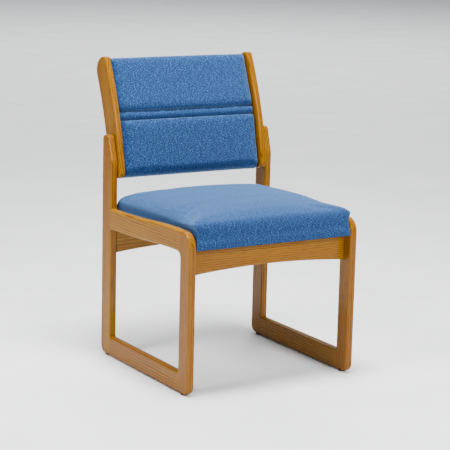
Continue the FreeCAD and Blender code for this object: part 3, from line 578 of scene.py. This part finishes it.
def tuck_sides(item):
    """Draws a back pad's face in beside the stiles, where a dark line parts them."""
    for vertex in item.data.vertices:
        arm = vertex.co - BACK_AXIS
        arm.x = 0
        near = ease(abs(vertex.co.x), PAD_HALF - SIDE_ROUND, PAD_HALF)
        face = 1 - ease(back_place(vertex.co)[0], *SIDE_FADE)
        vertex.co -= arm.normalized() * (SIDE_TUCK * near ** 2 * face)


def soften(item, rounds):
    """Evens out what the simulation left uneven."""
    apply_modifier(item, "SMOOTH", "soften", factor=0.5, iterations=rounds)


def dress(item, lay_cloth):
    """Lays the cloth's own map on a piece and gives it the tweed."""
    cloth_map = item.data.uv_layers.new(name="cloth")
    for face in item.data.polygons:
        for loop in face.loop_indices:
            point = item.data.vertices[item.data.loops[loop].vertex_index].co
            cloth_map.data[loop].uv = lay_cloth(point, face.normal)
    wear(item, tweed)
    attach(item, "root")


def finish_pad(item, lay_cloth, body_nodes):
    only(item)
    bpy.ops.object.shade_smooth()
    dress(item, lay_cloth)
    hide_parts(*body_nodes)


def seat_cloth(point, normal):
    """Place in the seat's cloth, which runs from the rear over the top and down the front."""
    if abs(normal.x) > SIDE_FACING:
        return point.y, point.z
    return point.x, point.y + math.copysign(point.z, REAR_FACING - normal.y)


def back_cloth(point, normal):
    """Place in a back pad's cloth, which runs up the pad's face."""
    if abs(normal.x) > SIDE_FACING:
        return back_place(point)
    depth, rise = back_place(point)
    return point.x, rise - depth


# Seat: foam on its board under one cover, whose shell gives the form its outside
seat = join("seat_cushion", [
    copy_of("seat_cover", "seat_cushion"), copy_of("seat_foam", "seat_foam_copy"),
    copy_of("seat_board", "seat_board_copy"),
])
stuff(seat, SEAT_VOXEL, SEAT_SKIN, lambda point: seat_place(point)[1] < SEAT_BOARD, SEAT_CAP,
      SEAT_HALF + SEAT_SLACK)
soften(seat, 2)
shape_seat(seat)
apply_modifier(seat, "SUBSURF", "finer", levels=1, render_levels=1)
finish_pad(seat, seat_cloth, ("seat_cover", "seat_foam"))


# A sewn seam stands up each corner of the cover
def corner_seam(side, along, top):
    """Tube of cloth on the seat cushion's surface, along behind its front edge and up to top."""
    line = bpy.data.curves.new("seam", "CURVE")
    line.dimensions = "3D"
    line.bevel_depth = SEAM_RADIUS
    line.bevel_resolution = 2
    line.use_fill_caps = True
    spline = line.splines.new("NURBS")
    spline.points.add(SEAM_POINTS - 1)
    for count, spot in enumerate(spline.points):
        rise = SEAM_FOOT + (top - SEAM_FOOT) * count / (SEAM_POINTS - 1)
        off_corner = SEAT_FRONT + Vector((
            side * (SEAT_HALF + SEAM_OFF[1]),
            along * math.cos(SEAT_PITCH) + rise * math.sin(SEAT_PITCH),
            rise * math.cos(SEAT_PITCH) - along * math.sin(SEAT_PITCH),
        ))
        spot.co = [*seat.closest_point_on_mesh(off_corner)[1], 1]
    spline.order_u = 3
    spline.use_endpoint_u = True
    seam = bpy.data.objects.new("seam", line)
    bpy.context.scene.collection.objects.link(seam)
    only(seam)
    bpy.ops.object.convert(target="MESH")
    return bpy.context.active_object


bpy.context.view_layer.update()
SEAM_ENDS = (-SEAM_OFF[0], FRONT_SEAM_TOP), (SEAT_DEPTH + SEAM_OFF[0], REAR_SEAM_TOP)
seams = [corner_seam(side, along, top) for side in (-1, 1) for along, top in SEAM_ENDS]
corner_seams = join("seat_corner_seams", seams)
bpy.ops.object.shade_smooth()
dress(corner_seams, seat_cloth)

# Back: lower pad, roll and upper pad, each with its own stretch of the board
lower_board = copy_of("back_board", "lower_board_copy")
trim_back(lower_board, LOWER_PAD_TOP, False)
lower = join("lower_back_pad", [
    copy_of("lower_back_foam", "lower_back_pad"), lower_board,
    back_edge_fill(FILL_BEGIN, FILL_STOP, FILL_FRONT, LOWER_FILL_REAR),
])
upper_board = copy_of("back_board", "upper_board_copy")
trim_back(upper_board, ROLL_TOP, True)
upper = join("upper_back_pad", [
    copy_of("upper_back_foam", "upper_back_pad"), upper_board,
    back_edge_fill(BACK_TOP - FILL_STOP, BACK_TOP - FILL_BEGIN, FILL_FRONT, UPPER_FILL_REAR),
])
roll = copy_of("back_roll_foam", "back_roll")
for pad, voxel, covers in ((lower, PAD_VOXEL, ("lower_back_cover", "lower_back_foam")),
                           (upper, PAD_VOXEL, ("upper_back_cover", "upper_back_foam")),
                           (roll, ROLL_VOXEL, ("back_roll_cover", "back_roll_foam"))):
    stuff(pad, voxel, PAD_SKIN, lambda point: back_place(point)[0] > PAD_HELD, PAD_CAP, PAD_HALF)
    soften(pad, 2)
    if pad is lower:
        square_ends(pad, 0, -1)
    if pad is upper:
        square_ends(pad, BACK_TOP, 1)
    apply_modifier(pad, "SUBSURF", "finer", levels=1, render_levels=1)
    tuck_sides(pad)
    finish_pad(pad, back_cloth, covers)

# Cloth stretched over the outside of the back, and the black cloth under the seat
outside = copy_of("outside_back_cover", "outside_back_cloth")
only(outside)
bpy.ops.object.shade_smooth_by_angle(angle=math.radians(35))
dress(outside, lambda point, normal: (point.x, back_place(point)[1]))
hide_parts("outside_back_cover")

under = copy_of("seat_dust_cover", "seat_dust_cloth")
wear(under, dust_black)
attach(under, "root")
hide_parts("seat_dust_cover")


# Pale matt floor, a touch uneven in tone.
def pale_floor():
    material, tree, shader = new_material("pale_floor")
    where = add(tree, "ShaderNodeTexCoord").outputs["Object"]
    haze = noise(tree, where, 3, 2).outputs["Fac"]
    feed(tree, shader, {
        "Base Color": ramp(tree, haze, ((0.3, "#E4E6E8"), (0.7, "#EFF0F1"))), "Roughness": 0.6,
    })
    return material


bpy.ops.object.select_all(action="DESELECT")
bpy.ops.mesh.primitive_plane_add(size=30, location=(0, 0, 0))
floor = bpy.context.active_object
floor.name = "floor"
wear(floor, pale_floor())


def area_light(name, place, target, size, power):
    """A round white light, turned to its target."""
    light = bpy.data.lights.new(name, "AREA")
    light.shape = "DISK"
    light.size = size
    light.energy = power
    item = bpy.data.objects.new(name, light)
    item.location = place
    item.rotation_euler = (Vector(target) - Vector(place)).to_track_quat("-Z", "Y").to_euler()
    bpy.context.scene.collection.objects.link(item)


area_light("overhead", (-0.1, -0.2, 3.4), (0, 0, 0.4), 1.2, 270)
area_light("front", (0.4, -3.4, 2.3), (0, 0, 0.4), 1.2, 135)
area_light("left", (-2.7, -0.3, 2.9), (0, 0, 0.4), 1.2, 120)
area_light("floor_behind", (4.5, 7.5, 7.0), (4.5, 7.5, 0), 8.0, 1100)
world = bpy.data.worlds.new("studio")
world.use_nodes = True
world.node_tree.nodes["Background"].inputs["Color"].default_value = linear("#EEF1F5")
world.node_tree.nodes["Background"].inputs["Strength"].default_value = 0.3
bpy.context.scene.world = world

# The camera stands where the photograph was taken from, in front of the chair on its left, and
# looks down on it. Angles in degrees.
CAMERA_TURN, CAMERA_DIP, CAMERA_ROLL = -31.3, 11.32, 1.39
camera_data = bpy.data.cameras.new("camera")
camera_data.sensor_width = 36
camera_data.lens = 133.44
camera_data.clip_end = 100
camera = bpy.data.objects.new("camera", camera_data)
camera.location = (-2.384, -3.9507, 1.314)
turned = Matrix.Rotation(math.radians(CAMERA_TURN), 3, "Z")
tipped = Matrix.Rotation(math.radians(90 - CAMERA_DIP), 3, "X")
rolled = Matrix.Rotation(math.radians(CAMERA_ROLL), 3, "Z")
camera.rotation_euler = (turned @ tipped @ rolled).to_euler()
bpy.context.scene.collection.objects.link(camera)
bpy.context.scene.camera = camera
